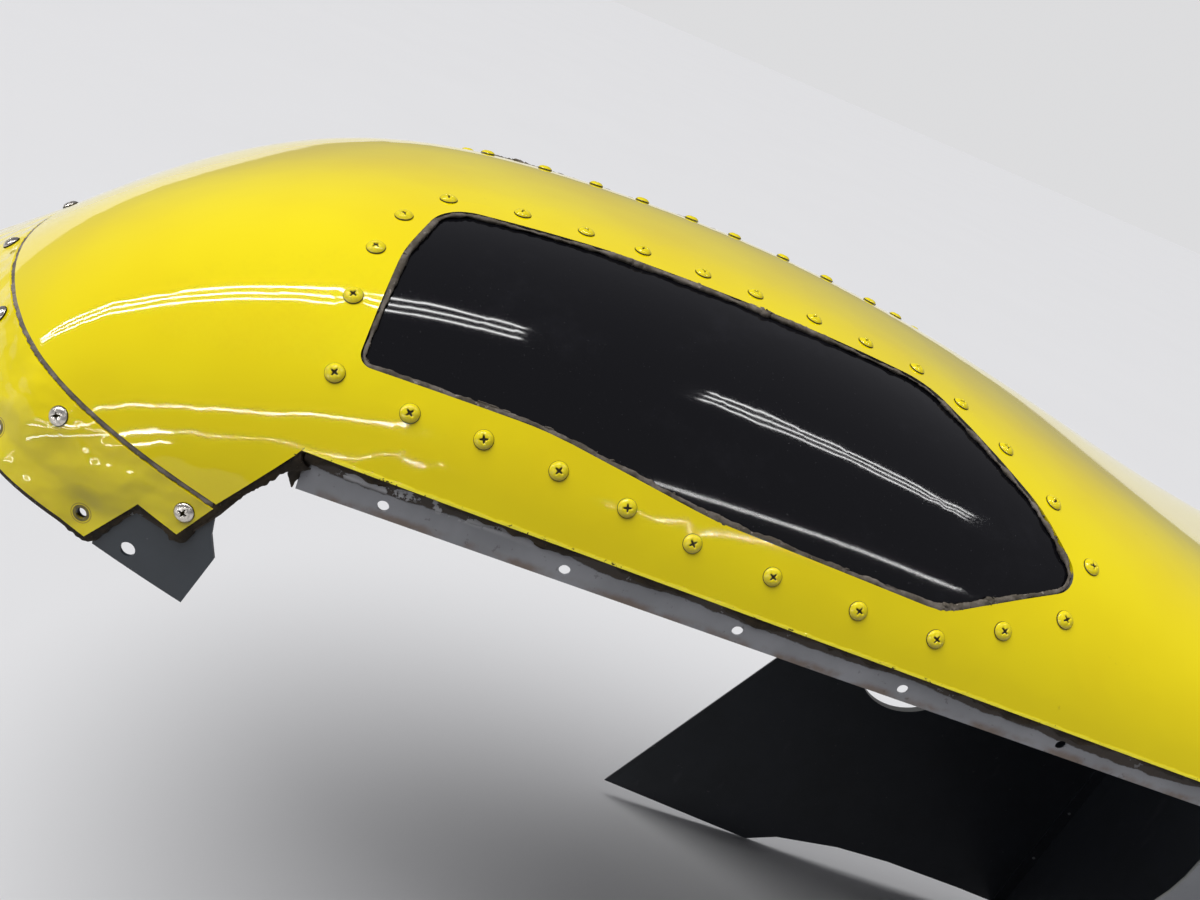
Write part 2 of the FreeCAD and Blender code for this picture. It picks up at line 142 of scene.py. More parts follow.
class Finish:
    """A node material round one Principled shader, whose constants are set on its sockets."""

    def __init__(self, name, **constants):
        self.material = bpy.data.materials.new(name)
        self.material.use_nodes = True
        self.tree = self.material.node_tree
        self.shader = next(n for n in self.tree.nodes if n.type == "BSDF_PRINCIPLED")
        for socket, value in constants.items():
            self.shader.inputs[socket.replace("_", " ")].default_value = value
        self.place = self.node("ShaderNodeTexCoord", out="Object")
        self.axis = {k: self.node("ShaderNodeSeparateXYZ", values={0: self.place}, out=k) for k in "XYZ"}

    def node(self, kind, settings=None, values=None, out=0):
        made = self.tree.nodes.new(kind)
        for key, value in (settings or {}).items():
            setattr(made, key, value)
        for key, value in (values or {}).items():
            if isinstance(value, Signal):
                self.tree.links.new(value.socket, made.inputs[key])
            else:
                made.inputs[key].default_value = value
        return Signal(self, made.outputs[out])

    def grain(self, scale, detail=3.0, roughness=0.55, stretch=None):
        """Noise between 0 and 1; scale is in features a metre."""
        place = self.place
        if stretch:
            place = self.node("ShaderNodeVectorMath", {"operation": "MULTIPLY"}, {0: place, 1: stretch})
        return self.node("ShaderNodeTexNoise", values={
            "Vector": place, "Scale": scale, "Detail": detail, "Roughness": roughness})

    def mix(self, mask, a, b):
        """Colour a where mask is 0 and b where it is 1."""
        a, b = (c if isinstance(c, Signal) else (*c, 1.0) for c in (a, b))
        return self.node("ShaderNodeMix", {"data_type": "RGBA"}, {0: mask, 6: a, 7: b}, out=2)

    def outside(self):
        """1 on faces that look away from the canopy's middle line."""
        middle = self.node("ShaderNodeCombineXYZ", values={0: self.axis["X"], 1: 0.0, 2: ARCH_FOOT - 0.08})
        arm = self.node("ShaderNodeVectorMath", {"operation": "SUBTRACT"}, {0: self.place, 1: middle})
        facing = self.node("ShaderNodeNewGeometry", out="Normal")
        return self.node("ShaderNodeVectorMath", {"operation": "DOT_PRODUCT"},
                         {0: arm, 1: facing}, out="Value").ramp(0.0, 0.01)

    def below_sill(self):
        """Metres under the hood's sill edge."""
        x, z, fall = SILL_EDGE
        return (self.axis["X"] - x) * fall + z - self.axis["Z"]

    def cut_edge(self):
        """1 on the narrow edges of sheet that stands upright along the side."""
        facing = self.node("ShaderNodeNewGeometry", out="Normal")
        across = self.node("ShaderNodeSeparateXYZ", values={0: facing}, out="Y")
        return 1 - abs(across).ramp(0.35, 0.6)

    def near(self, spot, radius, soft):
        """1 within a radius of a spot that is mirrored on both sides."""
        folded = self.node("ShaderNodeCombineXYZ", values={
            0: self.axis["X"], 1: abs(self.axis["Y"]), 2: self.axis["Z"]})
        away = self.node("ShaderNodeVectorMath", {"operation": "DISTANCE"}, {0: folded, 1: spot}, out="Value")
        return 1 - away.ramp(radius, radius + soft)

    def dress(self, colour=None, roughness=None, height=None, depth=0.0001):
        """Links what varies over the surface; depth is the bump's height in metres."""
        if colour is not None:
            self.tree.links.new(colour.socket, self.shader.inputs["Base Color"])
        if roughness is not None:
            self.tree.links.new(roughness.socket, self.shader.inputs["Roughness"])
        if height is not None:
            bump = self.node("ShaderNodeBump", values={"Height": height, "Distance": depth, "Strength": 1.0})
            self.tree.links.new(bump.socket, self.shader.inputs["Normal"])
        return self.material


# Finishes

def yellow_paint(name, paint, waves, holes=False):
    """High-gloss yellow over sheet or moulding, with bare grey moulding on the inner face and a painted
    highlight along the hood's sill edge.

    waves holds the dents' number a metre and height and the fine ripples' height, in millimetres.
    """
    pitch, swell, ripple = waves
    f = Finish(name, Coat_Weight=0.3, Coat_Roughness=0.015, IOR=1.5, Specular_IOR_Level=0.35)
    cloud = f.grain(9.0, 2.0)
    peel = f.grain(300.0, 2.0)
    body = f.mix(cloud.ramp(0.3, 0.75), paint, (paint[0] * 0.95, paint[1] * 0.91, paint[2]))
    grime = f.grain(60.0, 5.0, 0.7).ramp(0.68, 0.76) * 0.3
    body = f.mix(grime, body, (0.42, 0.28, 0.01))
    lip = 1 - abs(f.below_sill() + (f.grain(160.0, 4.0) - 0.5) * 0.002).ramp(0.0006, 0.0022)
    lip = lip * (f.axis["X"] > SILL_EDGE[0])
    # Painted highlight: brighter yellow along the sill edge stands in for the light that its rounded edge
    # catches
    body = f.mix(lip * 0.8, body, (1.0, 0.90, 0.06))
    crumbs = lip * f.grain(150.0, 4.0, 0.7).ramp(0.60, 0.64)
    body = f.mix(crumbs, body, (0.05, 0.035, 0.015))
    dents = f.grain(pitch, 1.0) * swell
    if holes:
        for spot in BAND_HOLES:
            # Painted shade: the wall and rim of each spare hole are painted dark and stand in for the shade
            # inside the hole
            ring = f.near(spot, 0.0046, 0.0003) * (0.55 + f.grain(400.0) * 0.6)
            body = f.mix(ring, body, (0.07, 0.05, 0.015))
            halo = f.near(spot, 0.0058, 0.0002) - f.near(spot, 0.0052, 0.0002)
            body = f.mix(halo, body, (0.55, 0.40, 0.01))
            dents = dents - f.near(spot, 0.003, 0.014) * 1.8
    colour = f.mix(f.outside(), (0.16, 0.165, 0.16), body)
    gloss = 0.035 + cloud * 0.03 + grime * 0.5
    height = peel * 0.012 + dents + f.grain(80.0, 1.0) * ripple + lip * f.grain(220.0) * 0.5
    return f.dress(colour, gloss, height, 0.001)


def smoked_acrylic(tint):
    """Near-black window sheet with faint hazing."""
    f = Finish("smoked_acrylic", IOR=1.49, Specular_IOR_Level=0.36)
    haze = f.grain(14.0, 5.0, 0.7)
    dust = f.grain(900.0, 1.0).ramp(0.74, 0.8)
    colour = f.mix(haze.ramp(0.52, 0.8), tint, [c * 1.8 + 0.002 for c in tint])
    colour = f.mix(dust * 0.25, colour, (0.07, 0.07, 0.08))
    return f.dress(colour, 0.03 + haze * 0.05 + dust * 0.2, f.grain(5.0, 1.0) * 0.6, 0.001)


def old_sealant(name, dark, pale, grit=260.0):
    """Hand-laid sealant: matt, mottled, lumpy."""
    f = Finish(name, Specular_IOR_Level=0.25)
    blotch = f.grain(75.0, 5.0, 0.65)
    crust = f.grain(grit, 4.0, 0.7)
    colour = f.mix(blotch.ramp(0.38, 0.66), dark, pale)
    colour = f.mix(crust.ramp(0.62, 0.7) * 0.6, colour, [min(c * 2.2 + 0.04, 1) for c in pale])
    return f.dress(colour, 0.6 + crust * 0.3, crust + blotch * 0.5, 0.0006)


def sheet_primer(name, outer, inner, sheen=0.42, split=None):
    """Primed sheet: cloudy and lightly scuffed; past split, measured across, it wears the outer tone."""
    f = Finish(name)
    cloud = f.grain(12.0, 4.0, 0.6)
    scuff = f.grain(35.0, 4.0, 0.6, stretch=(1.0, 1.0, 0.3)).ramp(0.62, 0.74)
    face = f.mix(cloud.ramp(0.35, 0.7), inner, [c * 0.75 for c in inner])
    if split:
        coat = f.mix(cloud.ramp(0.35, 0.7), outer, [c * 0.82 for c in outer])
        face = f.mix(abs(f.axis["Y"]) > split, face, coat)
        face = f.mix(f.cut_edge() * (0.5 + cloud * 0.5), face, (0.20, 0.20, 0.19))
    nicks = f.grain(130.0, 3.0, 0.7).ramp(0.70, 0.74)
    colour = f.mix(nicks * 0.35, f.mix(scuff * 0.10, face, (0.16, 0.16, 0.17)), (0.20, 0.20, 0.20))
    gloss = sheen + cloud * 0.14 - scuff * 0.08
    return f.dress(colour, gloss, f.grain(500.0, 2.0) * 0.1 + cloud * 0.2, 0.0006)


def flange_primer(grey):
    """Light grey strip: rust low down, brown sealant below the hood, pale smears at the front."""
    f = Finish("flange_primer")
    cloud = f.grain(22.0, 4.0)
    wander = f.grain(90.0, 5.0, 0.7)
    up = f.axis["Z"] - FLANGE_LOW
    under = f.below_sill()
    rust = (1 - (up + wander * 0.006).ramp(0.0045, 0.009)) * f.grain(38.0, 4.0).ramp(0.40, 0.6)
    spread = f.grain(9.0, 1.0, stretch=(1.0, 0.0, 0.0)).ramp(0.35, 0.62)
    tar = 1 - (under - spread * 0.0045 - wander * 0.004).ramp(0.0022, 0.0030)
    fore = f.axis["X"] - FLANGE_FRONT
    corner = 1 - (fore + under * 0.5 + wander * 0.006).ramp(0.010, 0.012)
    smear = ((wander + f.grain(14.0, 2.0)) * 0.5).ramp(0.49, 0.51) * fore.ramp(0.016, 0.024)
    smear = smear * (1 - fore.ramp(0.060, 0.16)) * (1 - under.ramp(0.007, 0.010))
    smear = smear * under.ramp(0.0012, 0.0018)
    flakes = f.grain(55.0, 4.0, 0.75).ramp(0.63, 0.66) * tar * 0.6
    colour = f.mix(cloud.ramp(0.35, 0.65), grey, [c * 0.8 for c in grey])
    colour = f.mix(rust * 0.6, colour, (0.19, 0.10, 0.035))
    colour = f.mix(f.grain(240.0, 3.0).ramp(0.66, 0.72) * 0.4, colour, (0.08, 0.07, 0.06))
    colour = f.mix(tar, colour, f.mix(wander, (0.010, 0.006, 0.003), (0.040, 0.024, 0.012)))
    colour = f.mix(corner, colour, (0.022, 0.014, 0.008))
    colour = f.mix(smear * 0.95 + flakes * 0.5, colour, (0.74, 0.74, 0.75))
    height = wander * (0.1 + tar * 0.9) + smear * 0.5
    return f.dress(colour, 0.42 + cloud * 0.15 + tar * 0.15, height, 0.0006)


def bow_paint(dark, fleck):
    """Brown sealant wiped over the bow, with flecks of pale primer on its showing edge."""
    f = Finish("bow_paint", Specular_IOR_Level=0.3)
    wander = f.grain(95.0, 5.0, 0.7)
    chips = f.grain(120.0, 4.0, 0.7, stretch=(1.0, 1.0, 1.6)).ramp(0.60, 0.64)
    colour = f.mix(wander.ramp(0.3, 0.7), dark, [c * 2.0 for c in dark])
    colour = f.mix(chips * 0.7, colour, fleck)
    return f.dress(colour, 0.5 + wander * 0.2, wander + chips * 0.4, 0.0008)


def bright_metal(name, tone):
    """Nickel-plated steel, fingered and slightly stained."""
    f = Finish(name, Metallic=1.0)
    stain = f.grain(320.0, 4.0, 0.6)
    colour = f.mix(stain.ramp(0.45, 0.72), tone, [c * 0.45 for c in tone])
    return f.dress(colour, 0.2 + stain * 0.25, stain, 0.00005)


def screw_finish(name, tone, metal):
    """Screw head; the mask laid on the mesh darkens the cross recess, the rim and the head's sides."""
    f = Finish(name, Metallic=1.0 if metal else 0.0, Coat_Weight=0.0 if metal else 0.2)
    recess_rim_dark = f.node("ShaderNodeAttribute", {"attribute_name": "recess_rim_dark"}, out="Fac")
    mottle = f.grain(500.0, 4.0, 0.65)
    colour = f.mix(mottle.ramp(0.42, 0.75), tone, [c * (0.55 if metal else 0.82) for c in tone])
    # Darker in the cross recess, round the rim and down the sides of the head
    colour = f.mix((recess_rim_dark + mottle * 0.25).ramp(0.42, 0.62), colour, (0.035, 0.028, 0.012))
    return f.dress(colour, (0.22 if metal else 0.16) + mottle * 0.12 + recess_rim_dark * 0.4, mottle, 0.00008)


def rivet_finish(grey, yellow):
    """Primed rivets below the sill and overpainted ones on the hood."""
    f = Finish("rivet_finish")
    cloud = f.grain(300.0, 3.0)
    colour = f.mix(f.axis["Z"] > ARCH_FOOT + 0.035, grey, yellow)
    colour = f.mix(cloud.ramp(0.5, 0.8) * 0.4, colour, (0.05, 0.05, 0.04))
    return f.dress(colour, 0.3 + cloud * 0.2, cloud, 0.00005)


# Meshes

def paint_over(obj, material):
    """Gives a piece one material in place of what it had."""
    obj.data.materials.clear()
    obj.data.materials.append(material)


def new_piece(name, mesh, material, node):
    """Object from a mesh in world metres, kept inside the solids' overall box."""
    low, high = CAD_BOX
    for v in mesh.vertices:
        v.co = [min(max(c, a), b) for c, a, b in zip(v.co, low, high)]
    obj = bpy.data.objects.new(name, mesh)
    bpy.context.scene.collection.objects.link(obj)
    paint_over(obj, material)
    for poly in mesh.polygons:
        poly.use_smooth = True
    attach(obj, "root")
    if node:
        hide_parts(node)
    return obj


def closed_mesh(name, points, faces):
    """Mesh from points in world metres, its faces turned outward."""
    mesh = bpy.data.meshes.new(name)
    mesh.from_pydata(points, [], faces)
    bm = bmesh.new()
    bm.from_mesh(mesh)
    bmesh.ops.recalc_face_normals(bm, faces=bm.faces)
    bm.to_mesh(mesh)
    bm.free()
    return mesh


def islands(node):
    """Corner points, face middles, normals and areas of each separate solid of a fastener node."""
    bm = bmesh.new()
    bm.from_mesh(NODES[node].data)
    bmesh.ops.remove_doubles(bm, verts=bm.verts, dist=2e-6)
    seen, groups = set(), []
    for start in bm.verts:
        if start.index in seen:
            continue
        stack, group = [start], []
        seen.add(start.index)
        while stack:
            v = stack.pop()
            group.append(v)
            for e in v.link_edges:
                w = e.other_vert(v)
                if w.index not in seen:
                    seen.add(w.index)
                    stack.append(w)
        faces = {f.index: f for v in group for f in v.link_faces}.values()
        groups.append((np.array([v.co[:] for v in group]),
                       np.array([f.calc_center_median()[:] for f in faces]),
                       np.array([f.normal[:] for f in faces]),
                       np.array([f.calc_area() for f in faces])))
    bm.free()
    return groups


def seats(node):
    """Seat point and outward axis of each screw, read from its solid."""
    found = []
    for points, middles, normals, areas in islands(node):
        axis = np.linalg.eigh((normals.T * areas) @ normals)[1][:, -1]
        centre = (middles.T * areas).sum(1) / areas.sum()
        level = (points - centre) @ axis
        reach = np.linalg.norm(points - centre - np.outer(level, axis), axis=1)
        head = level[reach > 0.75 * reach.max()]
        if head.mean() < level.mean():
            axis, head = -axis, -head
        found.append((centre + axis * head.min(), axis))
    return found


def head_mesh(radius, height, wing, reach, sink, steps=30):
    """Domed head with a cross recess, its tail of shank, and the recess mask."""
    points, faces, recess_rim_dark = [], [], []
    for j in range(steps + 1):
        for i in range(steps + 1):
            u, v = 2 * i / steps - 1, 2 * j / steps - 1
            big = max(abs(u), abs(v))
            small = math.hypot(u, v)
            k = big / small if small else 1.0
            x, y = u * k * radius, v * k * radius
            r = min(big, 1.0)
            rise = height * (1 - r ** 2.6) ** 0.62
            cut = 0.0
            for a, b in ((x, y), (y, x)):
                side = min(max((wing - abs(a)) / (0.35 * wing) + 1, 0.0), 1.0)
                cut = max(cut, side * min(max(1 - abs(b) / reach, 0.0) * 1.8, 1.0))
            points.append((x, y, max(rise - sink * cut, 0.12 * height)))
            recess_rim_dark.append(max(cut, 1.0 if r > 0.985 else 0.0))
    row = steps + 1
    for j in range(steps):
        for i in range(steps):
            a = j * row + i
            faces.append((a, a + 1, a + row + 1, a + row))
    rim = ([i for i in range(steps)] + [i * row + steps for i in range(steps)]
           + [steps * row + steps - i for i in range(steps)] + [(steps - i) * row for i in range(steps)])
    base = len(points)
    for i in rim:
        points.append((points[i][0], points[i][1], 0.0))
        recess_rim_dark.append(1.0)
    count = len(rim)
    for i in range(count):
        j = (i + 1) % count
        faces.append((rim[j], rim[i], base + i, base + j))
    faces.append(tuple(base + i for i in range(count)))
    return np.array(points), faces, recess_rim_dark


def screw_set(name, node, material, form, turn, ring=14):
    """All the screws of one node as one piece, each turned its own way; ring is the shank's sides."""
    points, faces, recess_rim_dark = head_mesh(**form)
    all_points, all_faces, all_recess_rim_dark = [], [], []
    shank_radius, shank_length = SHANK
    for number, (seat, axis) in enumerate(seats(node)):
        side = np.cross(axis, (0.3, 0.2, 0.9))
        side /= np.linalg.norm(side)
        other = np.cross(axis, side)
        a = turn * number * number + number
        x = side * math.cos(a) + other * math.sin(a)
        basis = np.array([x, np.cross(axis, x), axis])
        start = len(all_points)
        all_points.extend((points @ basis + seat).tolist())
        all_faces.extend(tuple(start + i for i in f) for f in faces)
        all_recess_rim_dark.extend(recess_rim_dark)
        start = len(all_points)
        for depth in (0.00001, -shank_length):
            for i in range(ring):
                t = 2 * math.pi * i / ring
                spot = np.array([shank_radius * math.cos(t), shank_radius * math.sin(t), depth])
                all_points.append((spot @ basis + seat).tolist())
                all_recess_rim_dark.append(0.0)
        for i in range(ring):
            j = (i + 1) % ring
            all_faces.append((start + i, start + ring + i, start + ring + j, start + j))
        all_faces.append(tuple(start + 2 * ring - 1 - i for i in range(ring)))
    mesh = closed_mesh(name, all_points, all_faces)
    mesh.attributes.new("recess_rim_dark", "FLOAT", "POINT").data.foreach_set("value", all_recess_rim_dark)
    return new_piece(name, mesh, material, node)


def ragged_bead(name, node, material, voxel, lumps, scale, droop=0.0, spread=0.0, slack=0.0004):
    """Sealant bead laid over its plain solid: remeshed, lumped, and pulled down in runs by droop.

    lumps is their height, scale their number a metre, spread how much some stretches swell,
    and slack how far the bead may pass its solid sideways.
    """
    source = bpy.data.objects.new(name + "_form", NODES[node].data.copy())
    bpy.context.scene.collection.objects.link(source)
    remesh = source.modifiers.new("even", "REMESH")
    remesh.mode = "VOXEL"
    remesh.voxel_size = voxel
    ready = source.evaluated_get(bpy.context.evaluated_depsgraph_get())
    mesh = bpy.data.meshes.new_from_object(ready)
    bpy.data.objects.remove(source)
    low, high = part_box(node)
    for v in mesh.vertices:
        spot = v.co * scale
        lump = noise.noise(spot) + 0.5 * noise.noise(spot * 2.7)
        lump += max(0.0, noise.noise(v.co * 11.0)) * spread
        v.co += v.normal * lumps * (lump - 0.15)
        if droop:
            run = noise.noise(Vector((v.co.x * 31.0, 3.1, 0.0)))
            run += 0.6 * noise.noise(Vector((v.co.x * 120.0, 0.7, 0.0)))
            if v.normal.z < 0.2:
                v.co.z -= droop * run
        v.co.x = min(max(v.co.x, low.x), high.x)
        v.co.y = min(max(v.co.y, low.y - slack), high.y + slack)
    return new_piece(name, mesh, material, node)


def swelling(x, z, place):
    """1 in the middle of a swelling of the bead, falling to 0 round it."""
    return math.exp(-((x - place[0]) ** 2 + (z - place[1]) ** 2) / place[2] ** 2)


def hand_laid(name, side, material, radius, step=0.0012, ring=10):
    """Bead squeezed along the notch of band and hood, following their outer faces.

    side is -1 on the left and 1 on the right; the bead has one ring of points a step.
    """
    walls = [NODES[node].data for node in ("front_band", "hood_shell")]
    walls = [BVHTree.FromPolygons([v.co for v in wall.vertices], [f.vertices for f in wall.polygons])
             for wall in walls]
    track = []
    for (ax, az), (bx, bz) in zip(NOTCH, NOTCH[1:]):
        count = max(1, round(math.hypot(bx - ax, bz - az) / step))
        track += [(ax + (bx - ax) * i / count, az + (bz - az) * i / count) for i in range(count)]
    depth, mesh_points = [], []
    for x, z in track:
        start, inward = Vector((x, side * 0.4, z + 0.004)), Vector((0.0, -side, 0.0))
        hits = [wall.ray_cast(start, inward, 0.3)[0] for wall in walls]
        found = [abs(hit.y) for hit in hits if hit]
        depth.append(max(found) if found else (depth[-1] if depth else 0.24))
    depth = np.convolve(np.pad(depth, 6, "edge"), np.ones(13) / 13, "valid")
    for i, (x, z) in enumerate(track):
        before, after = track[max(i - 3, 0)], track[min(i + 3, len(track) - 1)]
        run = Vector((after[0] - before[0], 0.0, after[1] - before[1])).normalized()
        lean = run.cross(Vector((0.0, 1.0, 0.0)))
        corner, foot = swelling(x, z, NOTCH_TOP), swelling(x, z, PILLAR_FOOT)
        drop = lean * math.copysign(0.0014 + 0.0036 * corner + 0.0012 * foot, -lean.z)
        drop.z = min(drop.z, 0.0)
        centre = Vector((x, side * (depth[i] - 0.0024 - 0.001 * corner), z)) + drop
        size = radius * (1.0 + 0.7 * noise.noise(centre * 60.0) + 1.0 * corner + 0.8 * foot)
        size *= min(1.0, 0.2 + i / 6, 0.2 + (len(track) - 1 - i) / 6)
        for k in range(ring):
            a = 2 * math.pi * k / ring
            arm = (lean * math.cos(a) * 1.15 + Vector((0.0, math.sin(a) * 0.8, 0.0))) * size
            mesh_points.append(centre + arm * (1.0 + 0.35 * noise.noise((centre + arm) * 420.0)))
    faces = [(i * ring + k, i * ring + (k + 1) % ring, (i + 1) * ring + (k + 1) % ring, (i + 1) * ring + k)
             for i in range(len(track) - 1) for k in range(ring)]
    faces += [tuple(range(ring)), tuple(range(len(mesh_points) - 1, len(mesh_points) - ring - 1, -1))]
    return new_piece(name, closed_mesh(name, mesh_points, faces), material, None)


# Settings

class CanopyPaint(bpy.types.PropertyGroup):
    """Colours of the canopy's finishes."""
    shell: bpy.props.FloatVectorProperty(
        name="Shell Yellow", description="Paint of hood, band and screws", default=(0.93, 0.765, 0.002),
        size=3, subtype="COLOR", min=0.0, max=1.0)
    window: bpy.props.FloatVectorProperty(
        name="Window Tint", description="Smoked acrylic", default=(0.0035, 0.0035, 0.005),
        size=3, subtype="COLOR", min=0.0, max=1.0)
    strip: bpy.props.FloatVectorProperty(
        name="Strip Grey", description="Primer of the sill flanges", default=(0.41, 0.415, 0.44),
        size=3, subtype="COLOR", min=0.0, max=1.0)
    wall: bpy.props.FloatVectorProperty(
        name="Wall Grey", description="Outer face of the quarter panels", default=(0.30, 0.31, 0.33),
        size=3, subtype="COLOR", min=0.0, max=1.0)
    cabin: bpy.props.FloatVectorProperty(
        name="Cabin Grey", description="Inner face of panels and bulkhead", default=(0.026, 0.031, 0.041),
        size=3, subtype="COLOR", min=0.0, max=1.0)
    nickel: bpy.props.FloatVectorProperty(
        name="Nickel", description="Plating of the band screws", default=(0.66, 0.62, 0.56),
        size=3, subtype="COLOR", min=0.0, max=1.0)


class CanopyTrim(bpy.types.PropertyGroup):
    """Sizes of the small trim."""
    head_radius: bpy.props.FloatProperty(
        name="Head Radius", description="Radius of the screw heads", default=0.0054, unit="LENGTH")
    head_height: bpy.props.FloatProperty(
        name="Head Height", description="Height of the screw heads", default=0.0026, unit="LENGTH")
    wing: bpy.props.FloatProperty(
        name="Recess Wing", description="Half width of the cross recess", default=0.00048, unit="LENGTH")
    bead_voxel: bpy.props.FloatProperty(
        name="Bead Grain", description="Mesh size of the sealant beads", default=0.0009, unit="LENGTH")
    droop: bpy.props.FloatProperty(
        name="Sill Droop", description="How far the sill sealant runs down", default=0.0045, unit="LENGTH")
    notch_bead: bpy.props.FloatProperty(
        name="Notch Bead", description="Radius of the bead round the pillar notch", default=0.0026,
        unit="LENGTH")


class CanopyStage(bpy.types.PropertyGroup):
    """Camera and studio."""
    eye: bpy.props.FloatVectorProperty(
        name="Camera Place", description="Where the camera stands", default=(-0.23204, -0.6925, 0.835),
        size=3, subtype="TRANSLATION", unit="LENGTH")
    lens: bpy.props.FloatProperty(
        name="Lens", description="Focal length on a 36 mm frame, in millimetres", default=30.25, min=1.0)
    floor: bpy.props.FloatVectorProperty(
        name="Floor", description="Pale floor", default=(0.72, 0.72, 0.73), size=3, subtype="COLOR",
        min=0.0, max=1.0)
    lamp_height: bpy.props.FloatProperty(
        name="Lamp Height", description="Height of the lamp rows over the camera", default=1.75,
        unit="LENGTH")


# Operators

class CANOPY_OT_hood(bpy.types.Operator):
    """Paints the moulded hood and the front band"""
    bl_idname = "canopy.hood"
    bl_label = "Hood and Band"

    def execute(self, context):
        paint = tuple(context.scene.canopy_paint.shell)
        paint_over(NODES["hood_shell"], yellow_paint("shell_yellow", paint, HOOD_WAVES))
        paint_over(NODES["front_band"], yellow_paint("band_yellow", paint, BAND_WAVES, holes=True))
        return {"FINISHED"}


class CANOPY_OT_windows(bpy.types.Operator):
    """Glazes the windows and lays their sealant"""
    bl_idname = "canopy.windows"
    bl_label = "Windows"

    def execute(self, context):
        scene = context.scene
        acrylic = smoked_acrylic(tuple(scene.canopy_paint.window))
        ring = sheet_primer("retainer_primer", RETAINER_GREY, RETAINER_GREY)
        putty = old_sealant("window_putty", (0.085, 0.072, 0.055), (0.20, 0.175, 0.15))
        for side in SIDES:
            paint_over(NODES["window_pane_" + side], acrylic)
            paint_over(NODES["window_retainer_" + side], ring)
            ragged_bead("window_bead_" + side, "window_sealant_" + side, putty,
                        scene.canopy_trim.bead_voxel, 0.0013, 105.0, spread=3.0)
        return {"FINISHED"}


class CANOPY_OT_screws(bpy.types.Operator):
    """Makes the overpainted window screws and the nickel band screws, and paints the nuts and rivets"""
    bl_idname = "canopy.screws"
    bl_label = "Screws and Rivets"

    def execute(self, context):
        trim, paint = context.scene.canopy_trim, context.scene.canopy_paint
        form = {"radius": trim.head_radius, "height": trim.head_height, "wing": trim.wing,
                "reach": 0.5 * trim.head_radius, "sink": 0.75 * trim.head_height}
        yellow = screw_finish("painted_screw", [c * 0.95 for c in paint.shell], False)
        for side in SIDES:
            node = "window_screws_" + side
            screw_set(node.replace("screws", "screw_set"), node, yellow, form, 0.7)
        nickel = screw_finish("nickel_screw", tuple(paint.nickel), True)
        screw_set("band_screw_set", "band_screws", nickel, form, 1.3)
        paint_over(NODES["band_nuts"], bright_metal("nut_plating", tuple(paint.nickel)))
        rivets = rivet_finish(tuple(paint.wall), tuple(paint.shell))
        for node in ("flange_rivets", "bulkhead_rivets"):
            paint_over(NODES[node], rivets)
        return {"FINISHED"}


class CANOPY_OT_sealant(bpy.types.Operator):
    """Lays the seam bead, the ragged sill sealant and the bead round the pillar notch"""
    bl_idname = "canopy.sealant"
    bl_label = "Sealant"

    def execute(self, context):
        trim = context.scene.canopy_trim
        taupe = old_sealant("seam_putty", (0.13, 0.11, 0.09), (0.27, 0.235, 0.21), 400.0)
        brown = old_sealant("sill_putty", (0.016, 0.011, 0.006), (0.055, 0.038, 0.020))
        ragged_bead("seam_bead", "front_sealant", taupe, trim.bead_voxel, 0.0004, 210.0)
        for side in SIDES:
            ragged_bead("sill_bead_" + side, "sill_sealant_" + side, brown,
                        trim.bead_voxel * 1.2, 0.0007, 140.0, trim.droop)
            hand_laid("notch_bead_" + side, -1 if side == "left" else 1, brown,
                      trim.notch_bead)
        return {"FINISHED"}


class CANOPY_OT_sheet_metal(bpy.types.Operator):
    """Primes flanges, brackets, bow, quarter panels and bulkhead"""
    bl_idname = "canopy.sheet_metal"
    bl_label = "Sheet Metal"

    def execute(self, context):
        paint = context.scene.canopy_paint
        strip = flange_primer(tuple(paint.strip))
        wall = sheet_primer("wall_primer", tuple(paint.wall), tuple(paint.cabin), split=PANEL_FACE - 0.0008)
        cabin = sheet_primer("cabin_primer", tuple(paint.cabin), tuple(paint.cabin))
        plate = sheet_primer("bracket_primer", BRACKET_GREY, BRACKET_GREY, 0.38)
        bow = bow_paint((0.020, 0.013, 0.007), (0.26, 0.27, 0.27))
        for side in SIDES:
            paint_over(NODES["sill_flange_" + side], strip)
            paint_over(NODES["side_panel_" + side], wall)
            paint_over(NODES["pillar_bracket_" + side], plate)
        paint_over(NODES["front_bow"], bow)
        paint_over(NODES["rear_bulkhead"], cabin)
        return {"FINISHED"}


